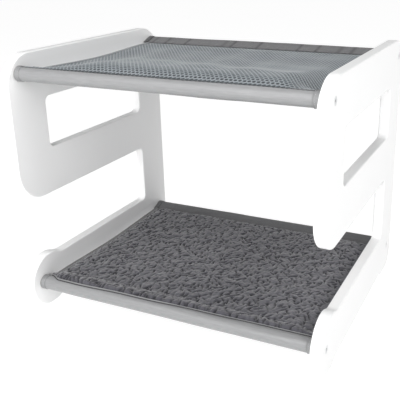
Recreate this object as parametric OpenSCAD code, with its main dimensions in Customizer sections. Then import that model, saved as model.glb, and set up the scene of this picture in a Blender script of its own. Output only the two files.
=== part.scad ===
// Two-tier pet hammock: cut-out board sides, bolted rods, a mesh sling above and a plush sling below.
// Millimetres. X runs across from side to side, Y from front to back, Z up. Origin on the floor, centred.

/* [Overall] */
// Clear width between the two side panels
inner_width = 460; // [380:5:560]
// Depth of a side panel from its front edge to its back edge
panel_depth = 405; // [370:1:480]
// Thickness of the side panel board
panel_thickness = 16; // [14:0.5:22]

/* [Side panel heights] */
// Top edge of the lower bar above the floor
bar_top = 79; // [70:1:90]
// Open height of the entry, from the lower bar to the upper block
entry_height = 106; // [80:1:180]
// Height of the board between the entry and the window
band_height = 73; // [55:1:100]
// Open height of the window
window_height = 81; // [40:1:120]
// Height of the board above the window
header_height = 72; // [50:1:100]

/* [Side panel outline] */
// Width of the board in front of the window, behind it and behind the entry
column_width = 75; // [60:1:95]
// Radius of the upper block's three free corners
block_corner_radius = 50; // [25:1:60]
// Radius of the inside corners of window and entry
cutout_corner_radius = 10; // [4:1:20]
// Radius of the lower corner at the back
heel_radius = 24; // [10:1:35]
// Rise of the round front foot above the lower bar
foot_rise = 8; // [4:1:16]
// Radius of the hollow between the front foot and the top of the lower bar
foot_blend_radius = 30; // [15:1:45]
// Height of the lower bar's underside above the floor
foot_relief = 6; // [4:0.5:12]
// Radius of the hollows at both ends of that relief
relief_blend_radius = 20; // [16:1:30]
// Length of the back foot, from the back edge to the relief
heel_length = 60; // [50:1:80]

/* [Rods] */
// Diameter of a wooden rod
rod_diameter = 18; // [16:0.5:22]
// Distance from the panel's front or back edge to the rod's axis
rod_setback = 25.5; // [23:0.5:34]
// Distance from the panel's top edge down to the upper rods' axes
rod_drop = 28; // [24:0.5:36]
// Height of the lower rods' axes above the floor
lower_rod_height = 44.5; // [38:0.5:50]

/* [Sleeves] */
// Thickness of the sleeve fabric
sleeve_wall = 1.2; // [0.8:0.1:2]
// Distance from the rod's axis to the seam where the sleeve grips its sling
seam_reach = 23; // [20:0.5:34]
// Depth of sling fabric held inside the seam
seam_overlap = 7; // [4:0.5:8]
// Gap between the end of a sleeve and the side panel
sleeve_end_gap = 0.8; // [0.5:0.1:3]

/* [Slings] */
// Gap between the side edge of a sling and the side panel
sling_edge_gap = 5; // [3:0.5:12]
// Thickness of the upper mesh fabric
mesh_thickness = 3; // [2:0.1:4]
// Dip of the upper sling at its middle
mesh_sag = 4; // [1:0.5:20]
// Openings in a full row across the upper mesh
mesh_columns = 12; // [6:1:12]
// Rows of openings in the upper mesh, from front to back
mesh_rows = 9; // [5:1:11]
// Width of fabric between two openings of a row
mesh_strand = 13; // [8:0.5:18]
// Thickness of the woven backing under the plush
backing_thickness = 1.6; // [1:0.1:2.5]
// Dip of the lower sling at its middle
plush_sag = 4; // [1:0.5:18]
// Height of the plush where it is sewn down along its edges
plush_edge_height = 4; // [3:0.5:6]
// Height of the plush just inside its rolled edge
plush_pile_height = 11; // [7:0.5:16]
// Extra height of the plush at its middle
plush_crown = 3; // [0:0.5:6]
// Width of the rolled edge round the plush
plush_roll = 24; // [10:1:40]
// Width of the binding tape along the side edges
binding_width = 9; // [6:0.5:14]
// Thickness of the binding tape
binding_wall = 0.9; // [0.6:0.1:1.4]

/* [Fasteners] */
// Diameter of a bolt's shank
bolt_diameter = 6; // [5:0.5:8]
// Diameter of a bolt's flat countersunk head
bolt_head_diameter = 12; // [10.5:0.5:14]
// Length of a bolt, head included
bolt_length = 40; // [34:1:50]
// Width across the flats of a bolt's hexagon socket
socket_width = 4; // [3:0.5:5]
// Depth of that socket
socket_depth = 2.6; // [1.5:0.1:3]
// Diameter of a threaded insert in a rod's end
insert_diameter = 10; // [9:0.5:12]
// Length of a threaded insert
insert_length = 18; // [12:1:22]

/* [Hidden] */
$fn = 64;

// Clearances, and one overrun for every cut
overrun = 2;
rod_fit = 0.3;
seam_fit = 0.3;
tape_fit = 0.15;
insert_fit = 0.05;
thread_fit = 0.1;
bolt_hole_fit = 0.3;
head_fit = 0.1;
tip_room = 3;

// Depth by which the round front foot is cut flat on the floor
foot_cut = 1;
// Depth by which a bolt head lies below the panel's face
head_recess = 0.2;
// Degrees by which a sleeve's flaps turn into its round, past the tangent, so that the two cross
flap_turn = 5;

// Heights and lines of the side panel
block_bottom = bar_top + entry_height;
window_bottom = block_bottom + band_height;
window_top = window_bottom + window_height;
panel_height = window_top + header_height;
half_depth = panel_depth / 2;
column_front = half_depth - column_width;
window_depth = panel_depth - 2 * column_width;

// Round front foot: it touches the panel's front line and stands a little above the bar
foot_radius = (bar_top + foot_rise + foot_cut) / 2;
foot_y = foot_radius - half_depth;
foot_z = foot_radius - foot_cut;

// Rod places as seen from the side, and the two ends of a rod
rod_y = half_depth - rod_setback;
top_rod_z = panel_height - rod_drop;
top_front = [-rod_y, top_rod_z];
top_rear = [rod_y, top_rod_z];
lower_front = [-rod_y, lower_rod_height];
lower_rear = [rod_y, lower_rod_height];
rod_places = [top_front, top_rear, lower_front, lower_rear];
left = -1;
right = 1;

// Slings: half width and half length between the seams, sampled closer together near the edges
sling_half = inner_width / 2 - sling_edge_gap;
seam_half = rod_y - seam_reach;
rows = 20;
columns = 24;
function spread(half, count) = [for (i = [0:count]) -half * cos(180 * i / count)];
function dip(y, sag) = abs(y) < seam_half ? -sag * pow(cos(90 * y / seam_half), 2) : 0;

// Mesh openings: staggered rows between the seams and the bindings, few and wide for the fabric's fine holes
mesh_field_x = sling_half - binding_width;
mesh_pitch_x = 2 * mesh_field_x / mesh_columns;
mesh_pitch_y = 2 * seam_half / mesh_rows;
mesh_opening = mesh_pitch_x - mesh_strand;

// Plush: its fabric ends inside the binding tape, and its height rolls up from every edge
plush_half_x = sling_half - binding_wall - tape_fit;
plush_half_y = seam_half - seam_fit;
plush_margin = binding_width - binding_wall;
plush_base = lower_rod_height + backing_thickness / 2 + tape_fit;
function roll(d) = sqrt(1 - pow(1 - max(0, min(1, d / plush_roll)), 2));
function bulge(s) = 1 - s * s;
function plush_height(x, y) = plush_edge_height
    + (plush_pile_height - plush_edge_height)
        * roll(plush_half_x - plush_margin - abs(x)) * roll(plush_half_y - abs(y))
    + plush_crown * bulge(x / plush_half_x) * bulge(y / plush_half_y)
        * roll(plush_half_x - plush_margin - abs(x));

// Bolts: a cone head of 90 degrees, flush in the panel
head_height = (bolt_head_diameter - bolt_diameter) / 2;
panel_outer_x = inner_width / 2 + panel_thickness;
bolt_head_x = panel_outer_x - head_recess;
bolt_tip_x = bolt_head_x - bolt_length;

// Turns a profile drawn in front-to-back and upward directions so that it is extruded along X
module across(length) {
    translate([-length / 2, 0, 0])
        rotate([90, 0, 90])
            linear_extrude(height = length)
                children();
}

// A cylinder along X from one place to another
module bar_x(diameter, from, to) {
    translate([from, 0, 0])
        rotate([0, 90, 0])
            cylinder(d = diameter, h = to - from);
}

module at_rod(place) {
    translate([0, place[0], place[1]])
        children();
}

module to_side(side) {
    mirror([side < 0 ? 1 : 0, 0, 0])
        children();
}

// Rectangle with four round corners
module round_box(low, high, radius) {
    size = high - low;
    translate(low) {
        translate([radius, 0])
            square([size[0] - 2 * radius, size[1]]);
        translate([0, radius])
            square([size[0], size[1] - 2 * radius]);
        for (x = [radius, size[0] - radius], y = [radius, size[1] - radius])
            translate([x, y])
                circle(r = radius);
    }
}

// Fills the inside corner at a point, towards the quarter that turn points at
module inside_fillet(corner, turn, radius) {
    translate(corner)
        rotate(turn)
            difference() {
                square(radius);
                translate([radius, radius])
                    circle(r = radius);
            }
}

// Upper block: round at its two front corners and at the top of the back
module block_outline() {
    low = [-half_depth, block_bottom];
    high = [half_depth, panel_height];
    round_box(low, high, block_corner_radius);
    translate([column_front, block_bottom])
        square([column_width, block_corner_radius]);
}

// Back column down to the floor and the lower bar that runs forward from it
module column_outline() {
    round_box([column_front, 0], [half_depth, block_bottom + band_height], heel_radius);
    translate([column_front, 0])
        square([column_width - heel_radius, heel_radius]);
    translate([column_front, block_bottom])
        square([column_width, band_height]);
    translate([foot_y, 0])
        square([column_front - foot_y + heel_radius, bar_top]);
}

// Centre of the hollow that blends the round foot into a level edge of the bar above or below its centre
function blend_centre(edge_z, up, radius) =
    let (rise = up * (edge_z - foot_z))
        [foot_y + sqrt(pow(foot_radius + radius, 2) - pow(rise + radius, 2)), edge_z + up * radius];

// Board that the hollow is cut from: it reaches from the foot to where the hollow meets the edge
module blend_stock(edge_z, up, radius) {
    centre = blend_centre(edge_z, up, radius);
    foot = [foot_y, foot_z];
    touch = foot + (centre - foot) * foot_radius / (foot_radius + radius);
    corners = [foot, [centre[0], foot_z], [centre[0], edge_z], touch];
    polygon(up > 0 ? corners : [for (i = [3:-1:0]) corners[i]]);
}

module blend_cut(edge_z, up, radius) {
    translate(blend_centre(edge_z, up, radius))
        circle(r = radius);
}

// Gap under the lower bar, from the round front foot to the back foot
module relief_outline() {
    sink = relief_blend_radius - foot_relief;
    end_y = half_depth - heel_length - sqrt(pow(relief_blend_radius, 2) - pow(sink, 2));
    translate([foot_y, -overrun])
        square([end_y - foot_y, foot_relief + overrun]);
    translate([end_y, -sink])
        circle(r = relief_blend_radius);
}

module panel_outline() {
    difference() {
        union() {
            block_outline();
            difference() {
                column_outline();
                relief_outline();
            }
            translate([foot_y, foot_z])
                circle(r = foot_radius);
            blend_stock(bar_top, 1, foot_blend_radius);
            blend_stock(foot_relief, -1, relief_blend_radius);
            inside_fillet([column_front, bar_top], 90, cutout_corner_radius);
            inside_fillet([column_front, block_bottom], 180, cutout_corner_radius);
        }
        blend_cut(bar_top, 1, foot_blend_radius);
        blend_cut(foot_relief, -1, relief_blend_radius);
        round_box([-window_depth / 2, window_bottom], [window_depth / 2, window_top], cutout_corner_radius);
        translate([-panel_depth, -panel_depth])
            square([2 * panel_depth, panel_depth]);
    }
}

// Side panel: one board with four countersunk bolt holes
module panel(side) {
    color("white")
        to_side(side)
            difference() {
                translate([(inner_width + panel_thickness) / 2, 0, 0])
                    across(panel_thickness)
                        panel_outline();
                for (place = rod_places)
                    at_rod(place) {
                        bar_x(
                            bolt_diameter + 2 * bolt_hole_fit,
                            inner_width / 2 - overrun,
                            panel_outer_x + overrun
                        );
                        bolt_head(head_fit, overrun);
                    }
            }
}

// Countersunk head along X: a cone, with a straight part of its full width above it
module bolt_head(fit, above) {
    translate([bolt_head_x - head_height, 0, 0])
        rotate([0, 90, 0])
            cylinder(d1 = bolt_diameter + 2 * fit, d2 = bolt_head_diameter + 2 * fit, h = head_height);
    if (above > 0)
        bar_x(bolt_head_diameter + 2 * fit, bolt_head_x, panel_outer_x + above);
}

// Rod: a wooden dowel between the panels, bored at both ends for an insert and the bolt's tip
module rod(place) {
    color("burlywood")
        at_rod(place)
            difference() {
                bar_x(rod_diameter, -inner_width / 2, inner_width / 2);
                for (side = [left, right])
                    to_side(side) {
                        bar_x(
                            insert_diameter + 2 * insert_fit,
                            inner_width / 2 - insert_length,
                            inner_width / 2 + overrun
                        );
                        bar_x(bolt_diameter + 2 * bolt_hole_fit, bolt_tip_x - tip_room, inner_width / 2);
                    }
            }
}

// Threaded insert, flush with the rod's end
module insert(place, side) {
    color("goldenrod")
        at_rod(place)
            to_side(side)
                difference() {
                    bar_x(insert_diameter, inner_width / 2 - insert_length, inner_width / 2);
                    bar_x(
                        bolt_diameter + 2 * thread_fit,
                        inner_width / 2 - insert_length - overrun,
                        inner_width / 2 + overrun
                    );
                }
}

// Countersunk bolt through the panel into the insert
module bolt(place, side) {
    color("silver")
        at_rod(place)
            to_side(side)
                difference() {
                    union() {
                        bar_x(bolt_diameter, bolt_tip_x, bolt_head_x - head_height);
                        bolt_head(0, 0);
                    }
                    translate([bolt_head_x - socket_depth, 0, 0])
                        rotate([0, 90, 0])
                            cylinder(d = socket_width / cos(30), h = socket_depth + overrun, $fn = 6);
                }
}

// Drop shape: a circle and the two flaps that run from it to a blunt tail, which may go on level
module drop(radius, tail_half, reach, beyond) {
    span = sqrt(reach * reach + tail_half * tail_half);
    lean = atan2(tail_half, reach) + acos(radius / span) + flap_turn;
    upper = [
        if (beyond > 0) [reach + beyond, tail_half],
        [reach, tail_half],
        [radius * cos(lean), radius * sin(lean)]
    ];
    lower = [for (i = [len(upper) - 1:-1:0]) [upper[i][0], -upper[i][1]]];
    circle(r = radius);
    polygon(concat(lower, upper));
}

// Sleeve: fabric folded round its rod, with both layers meeting the sling at the seam
module sleeve(place, sheet_thickness, shade) {
    inner_radius = rod_diameter / 2 + rod_fit;
    slot_half = sheet_thickness / 2 + seam_fit;
    color(shade)
        at_rod(place)
            across(inner_width - 2 * sleeve_end_gap)
                mirror([place[0] > 0 ? 1 : 0, 0])
                    difference() {
                        drop(inner_radius + sleeve_wall, slot_half + sleeve_wall, seam_reach, 0);
                        drop(inner_radius, slot_half, seam_reach, overrun);
                    }
}

// Side view of a sling fabric: it dips between the seams and goes on level inside them
module sling_profile(thickness, sag, half_length, beyond) {
    dipped = spread(half_length, rows);
    ys = beyond > 0 ? concat(-half_length - beyond, dipped, half_length + beyond) : dipped;
    lower = [for (y = ys) [y, dip(y, sag) - thickness / 2]];
    upper = [for (i = [len(ys) - 1:-1:0]) [ys[i], dip(ys[i], sag) + thickness / 2]];
    polygon(concat(lower, upper));
}

// Sling fabric: one sheet, held at both ends inside the seams
module sling_sheet(thickness, sag, half_width) {
    across(2 * half_width)
        sling_profile(thickness, sag, seam_half, seam_overlap);
}

// Binding: tape folded over a side edge of a sling, open towards the middle
module binding(height, sag, above, below, side, shade) {
    thickness = above + below;
    lift = (above - below) / 2;
    inner_edge = sling_half - binding_width;
    slot_width = binding_width - binding_wall + overrun;
    color(shade)
        translate([0, 0, height + lift])
            to_side(side)
                difference() {
                    translate([sling_half - binding_width / 2, 0, 0])
                        across(binding_width)
                            sling_profile(thickness + 2 * (tape_fit + binding_wall), sag, plush_half_y, 0);
                    translate([inner_edge - overrun + slot_width / 2, 0, 0])
                        across(slot_width)
                            sling_profile(thickness + 2 * tape_fit, sag, seam_half, overrun);
                }
}

// Plan of the mesh's openings: hexagons in full rows and, between them, in rows with one opening less
module mesh_openings() {
    for (row = [0:mesh_rows - 1])
        for (column = [row % 2:mesh_columns - 1])
            translate([
                (column + (1 - row % 2) / 2) * mesh_pitch_x - mesh_field_x,
                (row + 1 / 2) * mesh_pitch_y - seam_half
            ])
                rotate(30)
                    circle(d = mesh_opening / cos(30), $fn = 6);
}

// Mesh sling: one sheet, cut through by its openings
module top_mesh() {
    color("slategray")
        translate([0, 0, top_rod_z])
            difference() {
                sling_sheet(mesh_thickness, mesh_sag, sling_half - binding_wall - tape_fit);
                translate([0, 0, -mesh_sag - mesh_thickness])
                    linear_extrude(height = mesh_sag + 2 * mesh_thickness)
                        mesh_openings();
            }
}

module lower_backing() {
    color("gray")
        translate([0, 0, lower_rod_height])
            sling_sheet(backing_thickness, plush_sag, plush_half_x);
}

// Plush pad: lies on the backing, rolled down to a thin sewn edge and crowned in the middle
module lower_plush() {
    taped = spread(plush_half_x - plush_margin, columns - 2);
    xs = concat(-plush_half_x, taped, plush_half_x);
    ys = spread(plush_half_y, rows);
    per_row = columns + 1;
    layer = per_row * (rows + 1);
    floor_points = [for (y = ys, x = xs) [x, y, plush_base + dip(y, plush_sag)]];
    top_points = [for (p = floor_points) [p[0], p[1], p[2] + plush_height(p[0], p[1])]];
    cells = [for (j = [0:rows - 1], i = [0:columns - 1]) j * per_row + i];
    under = [for (c = cells) each [[c, c + 1, c + per_row], [c + 1, c + per_row + 1, c + per_row]]];
    over = [for (f = under) [f[2] + layer, f[1] + layer, f[0] + layer]];
    rim = concat(
        [for (i = [0:columns]) i],
        [for (j = [1:rows]) j * per_row + columns],
        [for (i = [1:columns]) rows * per_row + columns - i],
        [for (j = [1:rows - 1]) (rows - j) * per_row]
    );
    count = len(rim);
    sides = [for (k = [0:count - 1])
        let (a = rim[k], b = rim[(k + 1) % count])
            each [[a, a + layer, b], [b, a + layer, b + layer]]];
    color("dimgray")
        polyhedron(points = concat(floor_points, top_points), faces = concat(under, over, sides));
}

module top_binding(side) {
    binding(top_rod_z, mesh_sag, mesh_thickness / 2, mesh_thickness / 2, side, "slategray");
}

module lower_binding(side) {
    stack = backing_thickness / 2 + tape_fit + plush_edge_height;
    binding(lower_rod_height, plush_sag, stack, backing_thickness / 2, side, "dimgray");
}

panel(left);  // left_panel
panel(right);  // right_panel
rod(top_front);  // top_front_rod
rod(top_rear);  // top_rear_rod
rod(lower_front);  // lower_front_rod
rod(lower_rear);  // lower_rear_rod
sleeve(top_front, mesh_thickness, "silver");  // top_front_sleeve
sleeve(top_rear, mesh_thickness, "silver");  // top_rear_sleeve
sleeve(lower_front, backing_thickness, "silver");  // lower_front_sleeve
sleeve(lower_rear, backing_thickness, "silver");  // lower_rear_sleeve
top_mesh();
top_binding(left);  // top_left_binding
top_binding(right);  // top_right_binding
lower_backing();
lower_plush();
lower_binding(left);  // lower_left_binding
lower_binding(right);  // lower_right_binding
insert(top_front, left);  // top_front_left_insert
insert(top_front, right);  // top_front_right_insert
insert(top_rear, left);  // top_rear_left_insert
insert(top_rear, right);  // top_rear_right_insert
insert(lower_front, left);  // lower_front_left_insert
insert(lower_front, right);  // lower_front_right_insert
insert(lower_rear, left);  // lower_rear_left_insert
insert(lower_rear, right);  // lower_rear_right_insert
bolt(top_front, left);  // top_front_left_bolt
bolt(top_front, right);  // top_front_right_bolt
bolt(top_rear, left);  // top_rear_left_bolt
bolt(top_rear, right);  // top_rear_right_bolt
bolt(lower_front, left);  // lower_front_left_bolt
bolt(lower_front, right);  // lower_front_right_bolt
bolt(lower_rear, left);  // lower_rear_left_bolt
bolt(lower_rear, right);  // lower_rear_right_bolt
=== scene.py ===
import math

import bmesh
import bpy
import numpy as np
from mathutils import Matrix, Vector


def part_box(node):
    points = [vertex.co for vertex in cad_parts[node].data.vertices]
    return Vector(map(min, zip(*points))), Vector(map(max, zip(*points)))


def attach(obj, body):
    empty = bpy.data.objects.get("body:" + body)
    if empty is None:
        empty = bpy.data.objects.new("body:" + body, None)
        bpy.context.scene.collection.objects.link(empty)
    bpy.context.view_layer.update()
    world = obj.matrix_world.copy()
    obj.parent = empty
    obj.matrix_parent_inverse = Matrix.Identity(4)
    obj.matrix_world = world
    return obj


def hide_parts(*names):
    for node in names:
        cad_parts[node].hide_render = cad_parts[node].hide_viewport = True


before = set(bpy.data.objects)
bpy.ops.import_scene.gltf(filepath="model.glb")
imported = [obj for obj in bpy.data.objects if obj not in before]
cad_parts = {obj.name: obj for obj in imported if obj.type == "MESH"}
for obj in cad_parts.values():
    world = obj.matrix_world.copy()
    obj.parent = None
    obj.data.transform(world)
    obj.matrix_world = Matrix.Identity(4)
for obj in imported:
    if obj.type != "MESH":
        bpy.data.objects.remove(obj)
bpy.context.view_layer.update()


# Side panels: two boards of layered wood, each sawn in one piece with a window and an open entry.
# Their edges are eased with a small router bit, then sealed and sprayed with satin white lacquer.
class Wire:
    """One socket of a material's nodes, which takes part in Python sums."""

    def __init__(self, tree, socket=None):
        self.tree = tree
        self.socket = socket

    def join(self, value, socket):
        """Links a wire to a socket, or sets a plain value on it."""
        if isinstance(value, Wire):
            self.tree.links.new(value.socket, socket)
        else:
            socket.default_value = value

    def node(self, kind, settings=None, sockets=None, output=0):
        """Adds a node, with its settings first and then its sockets' values or links."""
        made = self.tree.nodes.new("ShaderNode" + kind)
        for name, value in (settings or {}).items():
            setattr(made, name, value)
        for name, value in (sockets or {}).items():
            self.join(value, made.inputs[name])
        return Wire(self.tree, made.outputs[output])

    def maths(self, operation, *values):
        """A sum or other operation on plain values and wires."""
        return self.node("Math", {"operation": operation}, dict(enumerate(values)))

    def mix(self, low, high):
        """The colour low where this wire is 0 and high where it is 1."""
        return self.node("Mix", {"data_type": "RGBA"}, {0: self, 6: low, 7: high}, 2)

    def feed(self, socket):
        """Joins this wire to one of the shader's sockets."""
        self.join(self, self.tree.nodes["Principled BSDF"].inputs[socket])

    def raise_surface(self, distance, strength):
        """Feeds the shader's normal from this wire, read as a height of up to distance metres."""
        self.node("Bump", {}, {"Height": self, "Distance": distance, "Strength": strength}).feed("Normal")

    def __add__(self, other):
        return self.maths("ADD", self, other)

    def __radd__(self, other):
        return self.maths("ADD", other, self)

    def __sub__(self, other):
        return self.maths("SUBTRACT", self, other)

    def __rsub__(self, other):
        return self.maths("SUBTRACT", other, self)

    def __mul__(self, other):
        return self.maths("MULTIPLY", self, other)

    def __rmul__(self, other):
        return self.maths("MULTIPLY", other, self)


def new_finish(name, even):
    """A material and a wire into its nodes. Values that don't vary go straight on the shader's sockets."""
    finish = bpy.data.materials.new(name)
    finish.use_nodes = True
    for socket, value in even.items():
        finish.node_tree.nodes["Principled BSDF"].inputs[socket].default_value = value
    return finish, Wire(finish.node_tree)


def grain(wire, place, size, detail=2.0):
    """Soft random spots of about that size in metres."""
    return wire.node("TexNoise", {}, {"Vector": place, "Scale": 1 / size, "Detail": detail})


def dress(ending, finish):
    """Gives one finish to every CAD piece whose name ends that way."""
    for name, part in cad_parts.items():
        if name.endswith(ending):
            part.data.materials.clear()
            part.data.materials.append(finish)


lacquer, wire = new_finish("satin_white_lacquer", {"Coat Weight": 0.25, "Coat Roughness": 0.2})
place = wire.node("TexCoord", output="Object")
peel = grain(wire, place, size=0.0022)
cloud = grain(wire, place, size=0.12, detail=3.0)
cloud.mix((0.86, 0.86, 0.86, 1), (0.90, 0.90, 0.90, 1)).feed("Base Color")
(0.36 + 0.1 * cloud + 0.06 * peel).feed("Roughness")
peel.raise_surface(distance=0.00012, strength=0.4)

edge_round = 0.0020
round_steps = 4
bolt_clear = 0.009
same_place = 1e-5
same_x = 1e-6
flat_angle = math.radians(1)
corners = ("top_front", "top_rear", "lower_front", "lower_rear")
rod_boxes = [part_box(corner + "_rod") for corner in corners]
rod_axes = [((low + high) / 2).yz for low, high in rod_boxes]
# Each face of the CAD comes as a patch of its own, so a patch's open edges are the board's real edges.
for side in ("left", "right"):
    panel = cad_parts[side + "_panel"]
    board = panel.data
    points = np.array([v.co for v in board.vertices])
    ends = np.array([e.vertices[:] for e in board.edges])
    faces_met = np.bincount([loop.edge_index for loop in board.loops], minlength=len(ends))
    middle = points[ends].mean(1)
    from_bolt = np.min([np.hypot(middle[:, 1] - y, middle[:, 2] - z) for y, z in rod_axes], axis=0)
    in_face = np.ptp(points[ends][:, :, 0], axis=1) < same_x
    rim = (faces_met == 1) & in_face & (from_bolt > bolt_clear)
    weight = board.attributes.new("bevel_weight_edge", "FLOAT", "EDGE")
    weight.data.foreach_set("value", rim.astype(np.float32))
    panel.modifiers.new("joined", "WELD").merge_threshold = same_place
    flat = panel.modifiers.new("flat_faces", "DECIMATE")
    flat.decimate_type = "DISSOLVE"
    flat.angle_limit = flat_angle
    router = panel.modifiers.new("router", "BEVEL")
    router.limit_method = "WEIGHT"
    router.width = edge_round
    router.segments = round_steps
    router.use_clamp_overlap = False
    panel.modifiers.new("even_shade", "WEIGHTED_NORMAL")
dress("_panel", lacquer)


# Rods: turned hardwood dowels that hold the panels apart, bored at both ends for the inserts.
# They are left as bare wood, because the sleeves hide them.
dowel, wire = new_finish("bare_dowel", {})
place = wire.node("TexCoord", output="Object")
stretched = wire.node("Mapping", {}, {"Vector": place, "Scale": (0.06, 1.0, 1.0)})
fibre = grain(wire, stretched, size=0.0016, detail=5.0)
fibre.mix((0.50, 0.34, 0.19, 1), (0.78, 0.62, 0.42, 1)).feed("Base Color")
(0.5 + 0.25 * fibre).feed("Roughness")
fibre.raise_surface(distance=0.0001, strength=0.5)
dress("_rod", dowel)


# Threaded inserts: turned brass bushes in the rods' ends, which take the bolts.
# They are screwed into the rods' bores, so they show only when the object is taken apart.
brass, wire = new_finish("turned_brass", {"Metallic": 1.0})
place = wire.node("TexCoord", output="Object")
tool_marks = wire.node("TexWave", {"bands_direction": "X"},
                       {"Vector": place, "Scale": 700.0, "Distortion": 0.6})
tool_marks.mix((0.62, 0.44, 0.17, 1), (0.80, 0.62, 0.30, 1)).feed("Base Color")
(0.25 + 0.2 * tool_marks).feed("Roughness")
dress("_insert", brass)


# Bolts: zinc-plated steel with a flat countersunk head and a hexagon socket.
# Each is let in flush with its panel's outer face and screwed into a rod's insert.
zinc, wire = new_finish("zinc_plate", {"Metallic": 0.5})
across_head = wire.node("TexCoord", output="Generated")
centred = wire.node("VectorMath", {"operation": "SUBTRACT"}, {0: across_head, 1: (0.5, 0.5, 0.5)})
turned = wire.node("TexWave", {"wave_type": "RINGS", "rings_direction": "X"},
                   {"Vector": centred, "Scale": 9.0, "Distortion": 1.5})
blotch = grain(wire, across_head, size=0.2, detail=3.0)
blotch.mix((0.66, 0.665, 0.67, 1), (0.76, 0.765, 0.77, 1)).feed("Base Color")
(0.42 + 0.12 * turned + 0.1 * blotch).feed("Roughness")
turned.raise_surface(distance=0.00005, strength=0.4)
dress("_bolt", zinc)


# Sleeves: tubes of light-grey satin, folded round each rod and sewn to the sling with both layers.
# Each end has a stitched hem, and all but the lower front one are faced with dark tape from the crest
# to the seam.
def add_piece(name, points, faces, *finishes):
    """A smooth mesh piece from points in metres, which rides with the frame."""
    mesh = bpy.data.meshes.new(name)
    mesh.from_pydata(np.asarray(points).tolist(), [], faces)
    shape = bmesh.new()
    shape.from_mesh(mesh)
    bmesh.ops.recalc_face_normals(shape, faces=shape.faces)
    shape.to_mesh(mesh)
    shape.free()
    mesh.polygons.foreach_set("use_smooth", [True] * len(mesh.polygons))
    piece = bpy.data.objects.new(name, mesh)
    bpy.context.scene.collection.objects.link(piece)
    for finish in finishes:
        mesh.materials.append(finish)
    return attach(piece, "root")


def tube_faces(stations, count):
    """Quads between closed loops of count points each, and a flat face over both open ends."""
    faces = []
    for i in range(stations - 1):
        for j in range(count):
            here = i * count + j
            after = i * count + (j + 1) % count
            faces.append((here, after, after + count, here + count))
    last = (stations - 1) * count
    faces.append(tuple(range(count)))
    faces.append(tuple(range(last, last + count)))
    return faces


def mark_points(piece, name, values):
    """Keeps one number for each point of a mesh, for its material to read."""
    marks = piece.data.attributes.new(name, "FLOAT", "POINT")
    marks.data.foreach_set("value", np.asarray(values, np.float32).ravel())


def bump_shape(distance, width):
    """A smooth bump, 1 high at no distance and nearly 0 at three widths."""
    return np.exp(-0.5 * (distance / width) ** 2)


def ease(value):
    """0 below 0, 1 above 1, and a smooth rise between."""
    share = np.clip(value, 0, 1)
    return share * share * (3 - 2 * share)


def woven(first, second, pitch):
    """Threads over and under each other along two directions given in metres."""
    turn = 2 * math.pi / pitch
    over = first.maths("SINE", turn * first)
    under = second.maths("SINE", turn * second)
    return 0.5 + 0.5 * over * under


satin, wire = new_finish("grey_satin", {"Sheen Weight": 0.25, "Sheen Roughness": 0.4})
place = wire.node("TexCoord", output="Object")
along = wire.node("SeparateXYZ", {}, {"Vector": place}, "X")
around = wire.node("Attribute", {"attribute_name": "around"}, output="Fac")
threads = woven(along, around, pitch=0.0014)
stretched = wire.node("Mapping", {}, {"Vector": place, "Scale": (0.12, 1.0, 1.0)})
slub = grain(wire, stretched, size=0.002, detail=4.0)
satin_shade = (0.75 * slub + 0.25 * threads).mix((0.188, 0.190, 0.193, 1), (0.292, 0.295, 0.299, 1))
# Painted shade: each point's fold mark darkens the satin towards near black, for shadow in the hems and
# folds.
folded = wire.node("Attribute", {"attribute_name": "folded"}, output="Fac")
folded.mix(satin_shade, (0.07, 0.071, 0.073, 1)).feed("Base Color")
(0.5 - 0.2 * slub).feed("Roughness")
(0.6 * slub + 0.4 * threads).raise_surface(distance=0.0004, strength=0.5)

tape, wire = new_finish("dark_tape", {"Sheen Weight": 0.2, "Sheen Roughness": 0.5})
place = wire.node("TexCoord", output="Object")
axes = [wire.node("SeparateXYZ", {}, {"Vector": place}, axis) for axis in "XYZ"]
rib = woven(axes[0] + axes[1], axes[0] - axes[1] + axes[2], pitch=0.0022)
fuzz = grain(wire, place, size=0.004, detail=4.0)
tape_shade = (0.6 * rib + 0.4 * fuzz).mix((0.062, 0.062, 0.065, 1), (0.172, 0.172, 0.177, 1))
# Painted shade: the same fold mark darkens the tape facing towards near black, for shadow in the top rear
# sleeve's folds.
folded = wire.node("Attribute", {"attribute_name": "folded"}, output="Fac")
folded.mix(tape_shade, (0.02, 0.02, 0.022, 1)).feed("Base Color")
(0.75 + 0.2 * fuzz).feed("Roughness")
rib.raise_surface(distance=0.0004, strength=0.6)

thread, wire = new_finish("sewing_thread", {})
place = wire.node("TexCoord", output="Object")
twist = grain(wire, place, size=0.0006, detail=1.0)
twist.mix((0.30, 0.30, 0.31, 1), (0.55, 0.55, 0.56, 1)).feed("Base Color")
(0.5 + 0.3 * twist).feed("Roughness")

mesh_thickness = 0.003
backing_thickness = 0.0016
sleeve_wall = 0.0012
seam_fit = 0.0003
skin_step = 0.0011
lining_step = 0.004
hem_width = 0.0075
hem_rise = 0.0011
hem_lap = 0.0004
hem_edge = 0.0005
hem_tone, hem_shadow = 0.1, 0.35
shadow_out, shadow_width = 0.0007, 0.0006
hem_stitch = 0.0058
stitch_sink = 0.0010
hem_stations = np.array([0, 0.0008, 0.0030, 0.0050, hem_stitch, 0.0066, hem_width, 0.0080, 0.0095, 0.012])
body_start = 0.015
body_stations = {"top_front": 108, "top_rear": 210, "lower_front": 108, "lower_rear": 108}
crease_count = 46
crease_width = 0.0016
crease_slope = 0.025
crease_half_run = (0.02, 0.08)
crease_rise = (0.00012, 0.0004)
pucker_count = 50
pucker_gap = (0.008, 0.034)
pucker_width = (0.0014, 0.0024)
pucker_rise = 0.0010
pucker_reach = 0.014
facing_start = -0.0026
fold_slant = 0.15
fold_level = 0.01
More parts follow.
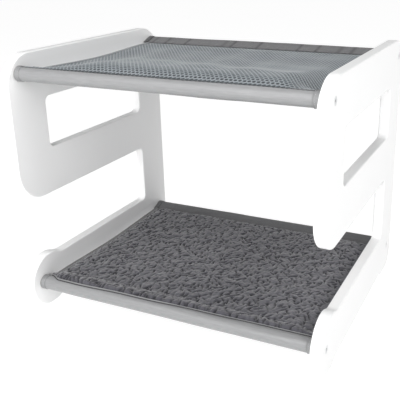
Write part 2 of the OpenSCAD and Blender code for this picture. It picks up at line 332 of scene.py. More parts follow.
# The top rear sleeve's painted fold shadows: place across the object, darkness and width.
rear_fold_shadows = [(-0.222, 0.7, 0.0026), (-0.209, 0.7, 0.0020), (-0.182, 0.8, 0.0018), (-0.140, 0.9, 0.0017),
              (-0.064, 0.5, 0.0024), (-0.047, 0.8, 0.0020), (0.003, 0.8, 0.0017), (0.078, 0.7, 0.0018),
              (0.111, 0.7, 0.0017), (0.150, 0.5, 0.0030), (0.172, 0.6, 0.0024)]
bead_radius = 0.0003
hem_bead, hem_pitch = 0.0022, 0.0032
hem_row_start, hem_row_end = 0.003, 0.004
seam_bead, seam_pitch = 0.003, 0.0042
seam_row_start, seam_row_end = 0.004, 0.006
seam_inset = 0.0016
chance = np.random.default_rng(11)


def drop_path(radius, tail_half, reach, gap):
    """Ways inward from the rod's axis and heights, from the lower tail round the rod to the upper one."""
    lean = math.atan2(tail_half, reach) + math.acos(radius / math.hypot(reach, tail_half))
    touch = np.array([radius * math.cos(lean), radius * math.sin(lean)])
    tail = np.array([reach, tail_half])
    flap = np.linspace(tail, touch, max(3, round(np.linalg.norm(tail - touch) / gap)))[:-1]
    turn = np.linspace(lean, 2 * math.pi - lean, max(8, round((2 * math.pi - 2 * lean) * radius / gap)))
    arc = radius * np.stack([np.cos(turn), -np.sin(turn)], 1)
    return np.concatenate([flap * (1, -1), arc, flap[::-1]])


def outward(path):
    """Unit vectors that point out of a path which runs from the lower tail to the upper one."""
    run = np.gradient(path, axis=0)
    run /= np.linalg.norm(run, axis=1)[:, None]
    return np.stack([-run[:, 1], run[:, 0]], 1)


def lengths_along(path):
    """The way walked from a path's start to each of its points."""
    steps = np.linalg.norm(np.diff(path, axis=0), axis=1)
    return np.concatenate([[0], np.cumsum(steps)])


def stitch_row(name, starts, ends, lifts, finish):
    """Short thread beads from each start to its end, raised along lift and sunk at both ends."""
    points, faces = [], []
    sides = 6
    for start, end, lift in zip(starts, ends, lifts):
        run = (end - start).normalized()
        side = run.cross(lift).normalized()
        for share, rise, size in ((0, -0.6, 0.5), (0.25, 0.35, 1), (0.75, 0.35, 1), (1, -0.6, 0.5)):
            centre = start.lerp(end, share) + lift * rise * bead_radius
            for k in range(sides):
                angle = 2 * math.pi * k / sides
                from_run = math.cos(angle) * side + math.sin(angle) * lift
                points.append(centre + bead_radius * size * from_run)
        first = len(points) - 4 * sides
        faces += [tuple(first + i for i in face) for face in tube_faces(4, sides)]
    return add_piece(name, points, faces, finish)


def cloth_relief(xs, walk, half_length):
    """Rise of the cloth at each x and way round: creases, puckers at the seam and a hem at each end."""
    relief = np.zeros((len(xs), len(walk)))
    for _ in range(crease_count):
        start_x, start_s = chance.uniform(-half_length, half_length), chance.uniform(0, walk[-1])
        slope, half_run = chance.normal(0, crease_slope), chance.uniform(*crease_half_run)
        line = start_s + slope * (xs - start_x)
        fade = ease(1.5 - np.abs(xs - start_x) / half_run)
        crease = bump_shape(walk - line[:, None], crease_width)
        relief += chance.uniform(*crease_rise) * fade[:, None] * crease
    to_tail = np.minimum(walk, walk[-1] - walk)
    pucker_x = np.cumsum(chance.uniform(*pucker_gap, pucker_count)) - half_length
    pucker = sum(bump_shape(xs - x, chance.uniform(*pucker_width)) for x in pucker_x)
    relief += pucker_rise * pucker[:, None] * ease(1 - to_tail / pucker_reach)[None, :]
    from_end = half_length - np.abs(xs)
    hem = hem_rise * ease((hem_width + hem_lap - from_end) / hem_edge)
    hem -= stitch_sink * bump_shape(from_end - hem_stitch, hem_edge)
    return relief + hem[:, None]


def fold_shades(corner, xs, walk, half_length, count):
    """Painted shade at each x and each point of a section: a slightly darker hem zone, a painted shadow
    line just inside each hem, and painted shadow in the top rear sleeve's folds.
    """
    from_end = half_length - np.abs(xs)
    hem_shade = hem_tone * ease((hem_width - from_end) / shadow_width)
    hem_shade += hem_shadow * bump_shape(from_end - hem_width - shadow_out, shadow_width)
    shades = np.repeat(hem_shade[:, None], count, axis=1)
    if corner == "top_rear":
        to_tail = np.minimum(walk, walk[-1] - walk)
        for x, depth, width in rear_fold_shadows:
            from_fold = xs[:, None] - x - fold_slant * (to_tail - fold_level)
            shades[:, :len(walk)] += depth * bump_shape(from_fold, width)
    return shades


def make_sleeve(corner, sling_thickness):
    """Wraps one rod in its sleeve, marks its facing and the painted shade of its hems and folds, and sews
    its hem and seam rows.
    """
    low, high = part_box(corner + "_sleeve")
    inward = -1 if corner.endswith("rear") else 1
    radius = (high.z - low.z) / 2
    axis_y = low.y + radius if inward > 0 else high.y - radius
    axis_z = (high.z + low.z) / 2
    reach = high.y - low.y - radius
    half_length = high.x
    tail_half = sling_thickness / 2 + seam_fit + sleeve_wall
    outer = drop_path(radius, tail_half, reach, skin_step)
    inner = drop_path(radius - sleeve_wall, tail_half - sleeve_wall, reach, lining_step)[::-1]
    out = outward(outer)
    walk = lengths_along(outer)
    body_x = np.linspace(-half_length + body_start, half_length - body_start, body_stations[corner])
    xs = np.concatenate([hem_stations - half_length, body_x, (half_length - hem_stations)[::-1]])

    loops = []
    for x, rise in zip(xs, cloth_relief(xs, walk, half_length)):
        section = np.concatenate([outer + out * rise[:, None], inner])
        ys, zs = axis_y + inward * section[:, 0], axis_z + section[:, 1]
        loops.append(np.stack([np.full(len(section), x), ys, zs], 1))
    count = len(outer) + len(inner)
    faces = tube_faces(len(xs), count)
    piece = add_piece(corner + "_satin_sleeve", np.concatenate(loops), faces, satin, tape)
    walk_inner = np.linspace(walk[-1], 0, len(inner))
    mark_points(piece, "around", np.tile(np.concatenate([walk, walk_inner]), len(xs)))
    # Painted shade for the hems and the top rear sleeve's folds, which the satin and the tape read.
    mark_points(piece, "folded", fold_shades(corner, xs, walk, half_length, count))
    if corner != "lower_front":
        crest = int(np.argmax((outer[:, 1] > 0) & (outer[:, 0] > facing_start)))
        taped = [crest <= i % count < len(outer) for i in range(len(faces) - 2)]
        piece.data.polygons.foreach_set("material_index", taped + [0, 0])
    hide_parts(corner + "_sleeve")

    def on_section(curve, s):
        """A curve's two numbers at the way s along the sleeve's section."""
        return [np.interp(s, walk, curve[:, k]) for k in (0, 1)]

    def on_skin(x, s):
        """The skin's point at x, a way s along the section."""
        inside, height = on_section(outer, s)
        return Vector((x, axis_y + inward * inside, axis_z + height))

    starts, ends, lifts = [], [], []
    for x in (hem_stitch - half_length, half_length - hem_stitch):
        for s in np.arange(hem_row_start, walk[-1] - hem_row_end, hem_pitch):
            lift_y, lift_z = on_section(out, s + hem_bead / 2)
            starts.append(on_skin(x, s))
            ends.append(on_skin(x, s + hem_bead))
            lifts.append(Vector((0, inward * lift_y, lift_z)).normalized())
    hem_line = stitch_row(corner + "_hem_stitches", starts, ends, lifts, thread)
    seam_y = axis_y + inward * (reach - seam_inset)
    seam_z = axis_z + tail_half + bead_radius
    seam_x = np.arange(seam_row_start - half_length, half_length - seam_row_end, seam_pitch)
    seam_line = stitch_row(
        corner + "_seam_stitches",
        [Vector((x, seam_y, seam_z)) for x in seam_x],
        [Vector((x + seam_bead, seam_y, seam_z)) for x in seam_x],
        [Vector((0, 0, 1))] * len(seam_x),
        tape if corner.startswith("top") else thread)


for corner in corners:
    make_sleeve(corner, mesh_thickness if corner.startswith("top") else backing_thickness)


# Top sling: knitted blue-grey mesh with rows of oval holes, each row half a pitch from the next.
# Its front edge is hemmed under, sewn down thin on the front sleeve's crest, and swells a little behind
# that seam. Its rear edge is held inside the rear sleeve.
strand, wire = new_finish("mesh_strand", {"Sheen Weight": 0.3, "Sheen Roughness": 0.4})
place = wire.node("TexCoord", output="Object")
# Painted light and shade: each point's light mark brightens the strand tops and darkens the brims and a
# band along the front seam.
painted_knit_light = wire.node("Attribute", {"attribute_name": "painted_knit_light"}, output="Fac")
# Painted highlight: long soft lighter streaks of random strength run front to back through the strand
# colour, for the sheen of the mesh's slight waves.
stretched = wire.node("Mapping", {}, {"Vector": place, "Scale": (1.0, 0.16, 1.0)})
painted_highlight_streak = grain(wire, stretched, size=0.05)
knit = grain(wire, place, size=0.0016, detail=3.0)
tone = painted_knit_light * (0.74 + 0.26 * painted_highlight_streak) + 0.3 * knit - 0.15
tone.mix((0.024, 0.029, 0.033, 1), (0.284, 0.315, 0.336, 1)).feed("Base Color")
(0.55 + 0.25 * knit).feed("Roughness")
knit.raise_surface(distance=0.0005, strength=0.6)

# Painted shade: a dark copy of the strand colour for the holes' walls, the underside and the closed hem
# under the first rows, in place of the shade inside the knit.
painted_hole_shade, wire = new_finish("mesh_hole_painted_shade", {})
place = wire.node("TexCoord", output="Object")
knit = grain(wire, place, size=0.0012, detail=3.0)
knit.mix((0.032, 0.038, 0.042, 1), (0.092, 0.105, 0.115, 1)).feed("Base Color")
(0.8 + 0.15 * knit).feed("Roughness")

mesh_low, mesh_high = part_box("top_mesh")
sling_z = mesh_high.z - mesh_thickness / 2
mesh_sag = mesh_high.z - mesh_low.z - mesh_thickness
seam_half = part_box("top_rear_sleeve")[0].y
sleeve_low, sleeve_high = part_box("top_front_sleeve")
sleeve_radius = (sleeve_high.z - sleeve_low.z) / 2
mesh_front = sleeve_low.y + 0.72 * sleeve_radius
hole_pitch = 0.00625
row_step = 0.0045
corner_y = row_step / 3
tip_y = row_step - corner_y
hole_half = np.array([0.0021, 0.0014])
hole_slant = -0.5
slant_start, slant_run = 0.016, 0.012
first_row = 0.0020
hemmed_rows = 4
# Width of the painted seam shadow behind the mesh's front edge.
painted_seam_shadow = 0.0012
sewn_share, sewn_run = 0.3, 0.012
slope_start = 0.012
left_slope, right_slope = 0.12, 0.045
fold_rise = 0.0006
fold_free = 0.03
# Heights of the front swell at ways behind the front seam, in the middle and at the sides.
swell_middle = [(0, 0.0104), (0.008, 0.0143), (0.018, 0.0174), (0.030, 0.0184), (0.05, 0.0178),
                (0.09, 0.0142), (0.15, 0.0084), (0.22, 0.0034), (0.29, 0)]
swell_side = [(0, 0.0104), (0.005, 0.0100), (0.010, 0.0086), (0.028, 0.0040), (0.042, 0.0006), (0.06, 0)]


def dip(y, sag):
    """Height of a sagging sling at y above its two seams, so 0 or less."""
    return np.where(np.abs(y) < seam_half, -sag * np.cos(0.5 * math.pi * y / seam_half) ** 2, 0)


def smooth_line(points, at):
    """Heights of a smooth curve through points, level before the first and after the last."""
    run, rise = np.array(points).T
    slope = np.gradient(rise, run)
    at = np.clip(at, run[0], run[-1])
    i = np.clip(np.searchsorted(run, at) - 1, 0, len(run) - 2)
    gap = run[i + 1] - run[i]
    t = (at - run[i]) / gap
    start = (1 + 2 * t) * (1 - t) ** 2 * rise[i] + t * (1 - t) ** 2 * gap * slope[i]
    return start + t * t * (3 - 2 * t) * rise[i + 1] + t * t * (t - 1) * gap * slope[i + 1]


def mesh_level(x, y):
    """Height of the mesh's middle layer above the seams: its sag, its front swell and its slack folds."""
    from_side = mesh_high.x - np.abs(x)
    slope_run = np.where(np.asarray(x) > 0, right_slope, left_slope)
    middle = ease((from_side - slope_start) / slope_run)
    raised = smooth_line(swell_middle, y - mesh_front)
    lowered = smooth_line(swell_side, y - mesh_front)
    swell = middle * raised + (1 - middle) * lowered
    free = ease((seam_half - np.abs(y)) / fold_free) * ease(from_side / fold_free)
    folds = np.sin(x / 0.0125 + 3 * y) + 0.7 * np.sin(x / 0.0203 - 5 * y + 1)
    folds = folds + 1.1 * np.sin(y / 0.017 + x / 0.06)
    return dip(y, mesh_sag) + swell + fold_rise * free * folds


# Each hole sits in a six-sided cell: a top, a brim round the oval hole and an underside. The top is pale,
# and painted shade darkens the brim, the hole's wall and the underside.
cell = [(0, tip_y), (0.5 * hole_pitch, corner_y), (0.5 * hole_pitch, -corner_y),
        (0, -tip_y), (-0.5 * hole_pitch, -corner_y), (-0.5 * hole_pitch, corner_y)]
clock = [math.radians(90 - 60 * k) for k in range(6)]
oval = hole_half * [(math.cos(a), math.sin(a)) for a in clock]
points, painted_knit_lights, faces, kinds, known, outline = [], [], [], [], {}, {}


def mesh_point(x, y, layer, light):
    """Adds a point. Its layer runs from -0.5 at the underside to 0.5 on top."""
    points.append((x, max(y, mesh_front), layer))
    # Painted shade: points within a narrow band behind the front seam get no light, for the seam's shadow
    # line.
    painted_knit_lights.append(light if y > mesh_front + painted_seam_shadow else 0)
    return len(points) - 1


def shared_point(x, y, layer, light):
    """The one point that neighbouring cells share at a corner."""
    key = (round(x * 1e6), round(y * 1e6), layer > 0)
    if key not in known:
        known[key] = mesh_point(x, y, layer, light)
    return known[key]


half_columns = math.ceil(mesh_high.x / hole_pitch)
row_ys = np.arange(mesh_front + first_row, mesh_high.y - tip_y, row_step)
for row, y in enumerate(row_ys):
    slant = hole_slant * float(ease((y - mesh_front - slant_start) / slant_run))
    rotation = np.array([(math.cos(slant), math.sin(slant)), (-math.sin(slant), math.cos(slant))])
    for column in range(-half_columns, half_columns + 1):
        x = (column + 0.5 * (row % 2)) * hole_pitch
        if abs(x) + 0.5 * hole_pitch > mesh_high.x:
            continue
        top = [shared_point(x + u, y + v, 0.5, 1) for u, v in cell]
        under = [shared_point(x + u, y + v, -0.5, 0.5) for u, v in cell]
        ring = np.array([(x, y)]) + oval @ rotation
        brim = [mesh_point(u, v, 0.25, 0.2) for u, v in ring]
        base = [mesh_point(u, v, -0.25, 0) for u, v in ring]
        if row < hemmed_rows:
            faces.append(tuple(base))
            kinds.append(1)
        for k in range(6):
            n = (k + 1) % 6
            faces += [(top[k], top[n], brim[n], brim[k]), (brim[k], brim[n], base[n], base[k]),
                      (base[k], base[n], under[n], under[k])]
            kinds += [0, 1, 1]
            edge = frozenset((top[k], top[n]))
            outline[edge] = None if edge in outline else (top[k], top[n], under[n], under[k])
for wall in filter(None, outline.values()):
    faces.append(wall)
    kinds.append(0)
xs, ys, layers = np.array(points).T
thickness = mesh_thickness * (sewn_share + (1 - sewn_share) * ease((ys - mesh_front) / sewn_run))
zs = sling_z + mesh_level(xs, ys) + layers * thickness
sling = add_piece("open_mesh_sling", np.stack([xs, ys, zs], 1), faces, strand, painted_hole_shade)
sling.data.polygons.foreach_set("material_index", kinds)
mark_points(sling, "painted_knit_light", painted_knit_lights)
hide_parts("top_mesh")


# Edge tapes: narrow tape folded over the side edges of both slings and sewn through with one row.
# The mesh has a blue-grey ribbon in its own tone. The plush has dark woven tape, added with the plush.
tape_wall = 0.0009
fold_radius = 0.0022
fold_steps = 6
lip_width, lip_drop = 0.0004, 0.0002
tape_stations = 90
tape_wave = 0.01
tape_row_start, tape_row_end = 0.003, 0.005


def make_tape(name, node, sling_height, sag, level, finish):
    """Folds a tape over a side edge. Level gives the sling's height above its seams at any x and y."""
    low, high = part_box(node)
    side = 1 if high.x > 0 else -1
    inner_x, outer_x = (low.x, high.x) if side > 0 else (high.x, low.x)
    mid_x = (inner_x + outer_x) / 2
    width = high.x - low.x
    up = high.z - sling_height
    down = sling_height - low.z - sag
    turn = np.linspace(0, math.pi / 2, fold_steps)
    turn_x, turn_z = fold_radius * np.sin(turn), fold_radius * np.cos(turn)
    upper = np.stack([width - fold_radius + turn_x, up - fold_radius + turn_z], 1)
    lower = np.stack([width - fold_radius + turn_z, fold_radius - down - turn_x], 1)
    skin = np.concatenate([[(0, up - lip_drop), (lip_width, up)], upper,
                           lower, [(lip_width, -down), (0, lip_drop - down)]])
    lining = np.array([(0, tape_wall - down), (width - tape_wall, tape_wall - down),
                       (width - tape_wall, up - tape_wall), (0, up - tape_wall)])
    section = np.concatenate([skin, lining])
    ys = np.linspace(low.y, high.y, tape_stations)
    waves = 1 + tape_wave * np.sin(ys / 0.004) * np.sin(ys / 0.017)
    loops = []
    for y, wave in zip(ys, waves):
        zs = sling_height + section[:, 1] * wave + float(level(mid_x, y))
        loops.append(np.stack([inner_x + side * section[:, 0], np.full(len(section), y), zs], 1))
    piece = add_piece(name, np.concatenate(loops), tube_faces(len(ys), len(section)), finish)
    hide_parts(node)

    def on_top(y):
        """The point of the tape's seam at y."""
        return Vector((inner_x + side * seam_inset, y, sling_height + up + float(level(mid_x, y))))

    stitch_y = np.arange(low.y + tape_row_start, high.y - tape_row_end, seam_pitch)
    starts = [on_top(y) for y in stitch_y]
    ends = [on_top(y + seam_bead) for y in stitch_y]
    row = stitch_row(name + "_stitches", starts, ends, [Vector((0, 0, 1))] * len(starts), thread)


ribbon, wire = new_finish("mesh_edge_ribbon", {"Sheen Weight": 0.2, "Sheen Roughness": 0.5})
place = wire.node("TexCoord", output="Object")
axes = [wire.node("SeparateXYZ", {}, {"Vector": place}, axis) for axis in "XY"]
rib = woven(axes[0] + axes[1], axes[0] - axes[1], pitch=0.0022)
fuzz = grain(wire, place, size=0.004, detail=4.0)
(0.6 * rib + 0.4 * fuzz).mix((0.15, 0.165, 0.175, 1), (0.30, 0.32, 0.335, 1)).feed("Base Color")
(0.7 + 0.2 * fuzz).feed("Roughness")
rib.raise_surface(distance=0.0003, strength=0.6)

for side in ("left", "right"):
    make_tape(f"mesh_{side}_tape", f"top_{side}_binding",
              sling_z, mesh_sag, mesh_level, ribbon)


# Backing: the plain woven cloth under the plush, which carries it.
# Its front and rear edges are held between the flaps of the lower sleeves.
cloth, wire = new_finish("backing_weave", {"Sheen Weight": 0.15})
place = wire.node("TexCoord", output="Object")
axes = [wire.node("SeparateXYZ", {}, {"Vector": place}, axis) for axis in "XY"]
threads = woven(axes[0], axes[1], pitch=0.0018)
fuzz = grain(wire, place, size=0.006, detail=4.0)
(0.6 * threads + 0.4 * fuzz).mix((0.07, 0.07, 0.075, 1), (0.17, 0.17, 0.18, 1)).feed("Base Color")
(0.8 + 0.15 * fuzz).feed("Roughness")
threads.raise_surface(distance=0.0003, strength=0.7)

backing_low, backing_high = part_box("lower_backing")
backing_z = backing_high.z - backing_thickness / 2
plush_sag = backing_high.z - backing_low.z - backing_thickness
backing_columns, backing_rows = 60, 100


def backing_level(x, y):
    """Height of the backing above its seams, the same at every x."""
    return dip(y, plush_sag)


xs = np.linspace(backing_low.x, backing_high.x, backing_columns)
ys = np.linspace(backing_low.y, backing_high.y, backing_rows)
zs = np.full(len(xs), backing_z + backing_thickness / 2)
loops = []
for y in ys:
    upper = np.stack([xs, np.full(len(xs), y), zs], 1)
    lower = upper[::-1] - (0, 0, backing_thickness)
    loops.append(np.concatenate([upper, lower]) + (0, 0, float(dip(y, plush_sag))))
backing = add_piece("plush_backing", np.concatenate(loops), tube_faces(len(ys), 2 * len(xs)), cloth)
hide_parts("lower_backing")


# Plush: dark-grey curly pile on the backing, puffed up inside a rolled edge that is taped at both sides.
# The pile stands in soft lumps with narrow gaps of painted shade, and its front edge lies over the lower
# front sleeve.
pile, wire = new_finish("curly_pile", {"Sheen Weight": 0.5, "Sheen Roughness": 0.5, "Roughness": 0.9})
place = wire.node("TexCoord", output="Object")
# Painted light and shade: each point's light mark lightens the tufts' tops and darkens the gaps, specks and
# pleats.
tip = wire.node("Attribute", {"attribute_name": "tip"}, output="Fac")
hair = grain(wire, place, size=0.0011, detail=3.0)
patch = grain(wire, place, size=0.03)
shade = tip * (0.6 + 0.4 * hair) + 0.25 * patch - 0.1
shade.mix((0.011, 0.0105, 0.0145, 1), (0.105, 0.103, 0.121, 1)).feed("Base Color")
(0.6 * hair + 0.4 * tip).raise_surface(distance=0.0007, strength=0.5)

plush_low, plush_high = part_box("lower_plush")
backing_clear = 0.00015
plush_base = backing_z + backing_thickness / 2 + backing_clear
columns, rows = 376, 262
taped_width = 0.0081
edge_height = 0.004
pile_height = 0.011
crown = 0.003
roll_width = 0.024
lip_share, lip_run = 0.25, 0.004
swirl = 0.0016
lump_pitch = 0.0052
lump_rise = 0.0013
lump_parting = 0.0018
speck_pitch = 0.0092
speck_length, speck_width = 0.0038, 0.0011
speck_depth = 0.0038
speck_spread = 1.8
pleat_count = 40
pleat_gap = (0.007, 0.024)
pleat_strength = (0.3, 1)
pleat_lean = 0.2
pleat_width = 0.0011
pleat_depth = 0.0016
pleat_reach = 0.018
billow_rise = 0.0008
pile_sink = 0.0012
flat_edge_x, flat_edge_y = 0.004, 0.003
edge_ahead = 0.001
edge_drift = 0.012
edge_wave = 0.0005
corner_back, corner_run = 0.013, 0.026
flap_over, flap_clear = 0.0004, 0.0002


def roll(distance):
    """Height share of the rolled edge, from 0 at the edge to 1 inside it."""
    return np.sqrt(1 - (1 - np.clip(distance / roll_width, 0, 1)) ** 2)


def scatter(x, y, pitch):
    """Strews points about a pitch apart. Gives each place's way from its nearest one, the gaps to its two
    nearest, and two chance numbers that belong to the nearest."""
    span = 128
    strewn = chance.uniform(0, 1, (span, span, 4))
    column, row = np.floor(x / pitch).astype(int), np.floor(y / pitch).astype(int)
    way, own = np.zeros(x.shape + (2,)), np.zeros(x.shape + (2,))
    first, second = np.full(x.shape, 1.0), np.full(x.shape, 1.0)
    for step_x in (-1, 0, 1):
        for step_y in (-1, 0, 1):
            near_x, near_y = column + step_x, row + step_y
            seed = strewn[near_x % span, near_y % span]
            off = np.stack([x, y], -1) - (np.stack([near_x, near_y], -1) + seed[..., :2]) * pitch
            gap = np.linalg.norm(off, axis=-1)
            closer = gap < first
            second = np.where(closer, first, np.minimum(second, gap))
            first = np.where(closer, gap, first)
            way = np.where(closer[..., None], off, way)
            own = np.where(closer[..., None], seed[..., 2:], own)
    return way, first, second, own


front_low, front_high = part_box("lower_front_sleeve")
front_radius = (front_high.z - front_low.z) / 2
front_axis = Vector((0, front_low.y + front_radius, (front_high.z + front_low.z) / 2))
flap_tail = np.array([front_high.y - front_axis.y, backing_thickness / 2 + seam_fit + sleeve_wall])


def flap_height(y):
    """Height of the lower front sleeve's upper side at y, from its crest down to the seam."""
    lean = math.atan2(flap_tail[1], flap_tail[0]) + math.acos(front_radius / np.linalg.norm(flap_tail))
    touch = front_radius * np.array([math.cos(lean), math.sin(lean)])
    inward = np.clip(y - front_axis.y, -front_radius, flap_tail[0])
    arc = np.sqrt(front_radius ** 2 - np.minimum(inward, touch[0]) ** 2)
    slope = (flap_tail[1] - touch[1]) / (flap_tail[0] - touch[0])
    return front_axis.z + arc + slope * np.maximum(inward - touch[0], 0)


def plush_front(x):
    """The plush's front edge on the sleeve: near the crest on the left, down the flap on the right."""
    share = np.clip((x - plush_low.x) / (plush_high.x - plush_low.x), 0, 1)
    drawn_back = corner_back * ease(1 - (x - plush_low.x) / corner_run)
    wave = edge_wave * np.sin(x / 0.019)
    return front_axis.y - edge_ahead + edge_drift * share ** 1.5 + drawn_back + wave


# The overall form: a rolled edge, a thin lip in front and behind, and a low crown.
share_x, share_y = np.meshgrid(np.linspace(0, 1, columns), np.linspace(0, 1, rows))
grid_x = plush_low.x + (plush_high.x - plush_low.x) * share_x
edge_y = plush_front(grid_x)
grid_y = edge_y + (plush_high.y - edge_y) * share_y
inside_x = plush_high.x - taped_width - np.abs(grid_x)
inside_y = np.minimum(grid_y - edge_y, plush_high.y - grid_y)
height = edge_height + (pile_height - edge_height) * roll(inside_x) * roll(inside_y)
height *= lip_share + (1 - lip_share) * np.sqrt(np.clip(inside_y / lip_run, 0, 1))
height += crown * (1 - (grid_x / plush_high.x) ** 2) * (1 - (grid_y / plush_high.y) ** 2) * roll(inside_x)

# The pile: lumps, deep specks between them with painted shade, pleats at the front and rear edges, and slow
# billows.
swirl_x = grid_x + swirl * np.sin(grid_y / 0.0041 + 2 * np.sin(grid_x / 0.011))
swirl_y = grid_y + swirl * np.sin(grid_x / 0.0047 + 2 * np.sin(grid_y / 0.013))
way, first, second, own = scatter(swirl_x, swirl_y, lump_pitch)
lump = np.sqrt(np.clip(1 - (first / (0.95 * lump_pitch)) ** 2, 0, 1)) * (0.45 + 0.55 * own[..., 0])
lump *= 0.55 + 0.45 * ease((second - first) / lump_parting)
way, first, second, own = scatter(swirl_x, swirl_y, speck_pitch)
lie = math.pi / 2 + speck_spread * (own[..., 0] - 0.5)
long_way = way[..., 0] * np.cos(lie) + way[..., 1] * np.sin(lie)
cross_way = way[..., 1] * np.cos(lie) - way[..., 0] * np.sin(lie)
speck = bump_shape(long_way, speck_length) * bump_shape(cross_way, speck_width) * (0.2 + 0.8 * own[..., 1])
pleat = np.zeros(grid_x.shape)
for x in np.cumsum(chance.uniform(*pleat_gap, pleat_count)) + plush_low.x:
    strength, lean = chance.uniform(*pleat_strength), chance.normal(0, pleat_lean)
    pleat += strength * bump_shape(grid_x - x - lean * inside_y, pleat_width)
pleat *= ease(1 - inside_y / pleat_reach)
billow = np.sin(grid_x / 0.0087 + 1.5 * np.sin(grid_y / 0.014))
billow *= np.sin(grid_y / 0.0078 + 1.3 * np.sin(grid_x / 0.017))
relief = lump_rise * lump - speck_depth * speck - pleat_depth * pleat + billow_rise * billow - pile_sink
height += ease(inside_x / flat_edge_x) * ease(inside_y / flat_edge_y + 0.35) * relief
# Painted light and shade: the lumps' tops are painted lighter, and the specks, pleats and the gaps between
# lumps are painted darker.
tip_tone = np.clip(0.56 + 0.24 * lump - 1.8 * speck - 0.4 * pleat, 0, 1)

# The pile's foot follows the backing, and the front sleeve's flap where it lies over that.
base_z = plush_base + dip(grid_y, plush_sag)
over_flap = grid_y < front_high.y + flap_over
base_z = np.where(over_flap, np.maximum(base_z, flap_height(grid_y) + flap_clear), base_z)
tops = np.stack([grid_x, grid_y, base_z + height], -1).reshape(-1, 3)
under = np.stack([grid_x, grid_y, base_z], -1)[:, [0, -1]].reshape(-1, 3)
first_under = rows * columns
faces = []
for j in range(rows - 1):
    start = j * columns
    for i in range(columns - 1):
        here = start + i
        faces.append((here, here + 1, here + 1 + columns, here + columns))
    left_under = first_under + 2 * j
    faces.append((left_under, left_under + 2, left_under + 3, left_under + 1))
    faces.append((start, start + columns, left_under + 2, left_under))
    faces.append((start + columns - 1, left_under + 1, left_under + 3, start + 2 * columns - 1))
faces.append(tuple(range(columns)) + (first_under + 1, first_under))
last = (rows - 1) * columns
faces.append(tuple(range(last, last + columns)) + (first_under + 2 * rows - 1, first_under + 2 * rows - 2))
plush = add_piece("curly_plush", np.concatenate([tops, under]), faces, pile)
mark_points(plush, "tip", np.concatenate([tip_tone.ravel(), np.zeros(2 * rows)]))
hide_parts("lower_plush")

for side in ("left", "right"):
    make_tape(f"plush_{side}_tape", f"lower_{side}_binding",
              backing_z, plush_sag, backing_level, tape)


# Piping: a thin covered cord along the plush's front and rear edges, satin in front and dark behind.
# It is sewn in between the plush and the lower sleeves.
piping_radius = 0.0012
piping_inset = 0.0012
piping_sides = 10
end_clear = 0.0005
cord_stations = 150


def lay_cord(name, xs, line_y, line_z, radius, sides, finish):
    """A thin round cord along a line that runs from one side of the object to the other."""
    turn = np.linspace(0, 2 * math.pi, sides, endpoint=False)
    ring_y, ring_z = radius * np.cos(turn), radius * np.sin(turn)
    loops = []
    for x, y, z in zip(xs, line_y, line_z):
        loops.append(np.stack([np.full(sides, x), y + ring_y, z + ring_z], 1))
    cord = add_piece(name, np.concatenate(loops), tube_faces(len(xs), sides), finish)
    mark_points(cord, "around", np.tile(radius * turn, len(xs)))


xs = np.linspace(front_low.x + end_clear, front_high.x - end_clear, cord_stations)
line_y = plush_front(xs) - piping_inset
line_z = flap_height(line_y) + 0.9 * piping_radius
lay_cord("lower_front_piping", xs, line_y, line_z, piping_radius, piping_sides, satin)

rear_low, rear_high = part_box("lower_rear_sleeve")
xs = np.linspace(rear_low.x + end_clear, rear_high.x - end_clear, cord_stations)
sway = 0.0003 * np.sin(xs / 0.013) + 0.0002 * np.sin(xs / 0.0047 + 1)
line_y = rear_low.y + piping_inset - sway
rear_z = backing_z + backing_thickness / 2 + seam_fit + sleeve_wall + 0.6 * piping_radius
lay_cord("lower_rear_piping", xs, line_y, np.full(len(xs), rear_z), piping_radius, piping_sides, tape)


# Seam shadow: a thin near-black cord along the foot of the front piping, which paints a shadow line.
# It lies on the lower front sleeve, in the gap where this meets the piping and the plush.
# Painted shadow: a near-black finish for the cord in the gap in front of the piping.
seam_shadow_paint, wire = new_finish("seam_shadow_paint", {})
place = wire.node("TexCoord", output="Object")
twist = grain(wire, place, size=0.0012, detail=1.0)
twist.mix((0.022, 0.022, 0.024, 1), (0.055, 0.055, 0.058, 1)).feed("Base Color")
(0.6 + 0.3 * twist).feed("Roughness")

shadow_cord_radius = 0.0010
shadow_cord_sides = 6
shadow_cord_end = 0.002
xs = np.linspace(plush_low.x + shadow_cord_end, plush_high.x - shadow_cord_end, cord_stations)
line_y = plush_front(xs) - piping_inset - piping_radius - 0.3 * shadow_cord_radius
line_z = flap_height(line_y) + 0.5 * shadow_cord_radius
lay_cord("lower_front_seam_shadow", xs, line_y, line_z, shadow_cord_radius, shadow_cord_sides, seam_shadow_paint)


# Studio: a glowing white floor in a grey room, four soft lamps, and the camera of the photograph.
# The camera's sensor is narrower than high, so that views from other sides stand back far enough to keep
# the whole object in the picture.
floor_finish, wire = new_finish("pale_floor", {
    "Roughness": 0.9, "Emission Strength": 0.88, "Emission Color": (1, 1, 1, 1)})
place = wire.node("TexCoord", output="Object")
grain(wire, place, size=0.4).mix((0.24, 0.24, 0.24, 1), (0.26, 0.26, 0.26, 1)).feed("Base Color")
floor_width = 60
bpy.ops.mesh.primitive_plane_add(size=floor_width)
floor = bpy.context.object
floor.name = "floor"
floor.data.materials.append(floor_finish)

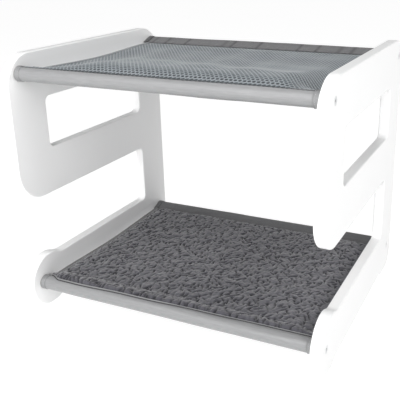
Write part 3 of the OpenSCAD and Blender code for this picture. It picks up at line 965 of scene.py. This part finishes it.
world = bpy.data.worlds.new("grey_room")
bpy.context.scene.world = world
world.use_nodes = True
sky = Wire(world.node_tree)
upward = sky.node("SeparateXYZ", {}, {"Vector": sky.node("TexCoord", output="Generated")}, "Z")
room_shade = upward.mix((0.34, 0.34, 0.34, 1), (0.28, 0.28, 0.28, 1))
sky.join(room_shade, world.node_tree.nodes["Background"].inputs["Color"])

lamp_aim = Vector((0, 0, 0.2))


def add_lamp(name, position, size, watts):
    """A square soft lamp that shines from its position towards the object's middle."""
    light = bpy.data.lights.new(name, "AREA")
    light.size = size
    light.energy = watts
    lamp = bpy.data.objects.new(name, light)
    bpy.context.scene.collection.objects.link(lamp)
    lamp.location = position
    lamp.rotation_euler = (lamp_aim - Vector(position)).to_track_quat("-Z", "Y").to_euler()


add_lamp("key", (-0.5, -1.5, 1.6), size=1.2, watts=25)
add_lamp("front", (0.3, -2.6, 0.8), size=1.4, watts=40)
add_lamp("fill", (2.0, -1.3, 1.5), size=1.2, watts=15)
add_lamp("top", (1.6, -0.2, 1.9), size=1.0, watts=13)

# The camera was fitted to the panels' straight edges and the sleeves' outlines in the photograph.
photo_pixels = 400
focal_pixels = 650.4
centre_shift = (-0.115, -0.0637)
azimuth, elevation, tilt = (math.radians(a) for a in (24.447, 19.296, -0.571))
distance = 1.0594
aim_height, aim_across, aim_up = 0.22, 0.0453, -0.0176
back = Vector((math.sin(azimuth) * math.cos(elevation),
               -math.cos(azimuth) * math.cos(elevation),
               math.sin(elevation)))
level = Vector((math.cos(azimuth), math.sin(azimuth), 0))
rise = back.cross(level)
aim = Vector((0, 0, aim_height)) + aim_across * level + aim_up * rise
right = math.cos(tilt) * level + math.sin(tilt) * rise
up = math.cos(tilt) * rise - math.sin(tilt) * level
lens = bpy.data.cameras.new("photo_camera")
lens.sensor_fit = "VERTICAL"
lens.sensor_height = 36
lens.sensor_width = 31
lens.lens = focal_pixels * lens.sensor_height / photo_pixels
lens.shift_x, lens.shift_y = centre_shift
camera = bpy.data.objects.new("photo_camera", lens)
bpy.context.scene.collection.objects.link(camera)
facing = Matrix((right, up, back)).transposed().to_4x4()
camera.matrix_world = Matrix.Translation(aim + distance * back) @ facing
bpy.context.scene.camera = camera
bpy.context.scene.view_settings.view_transform = "Standard"
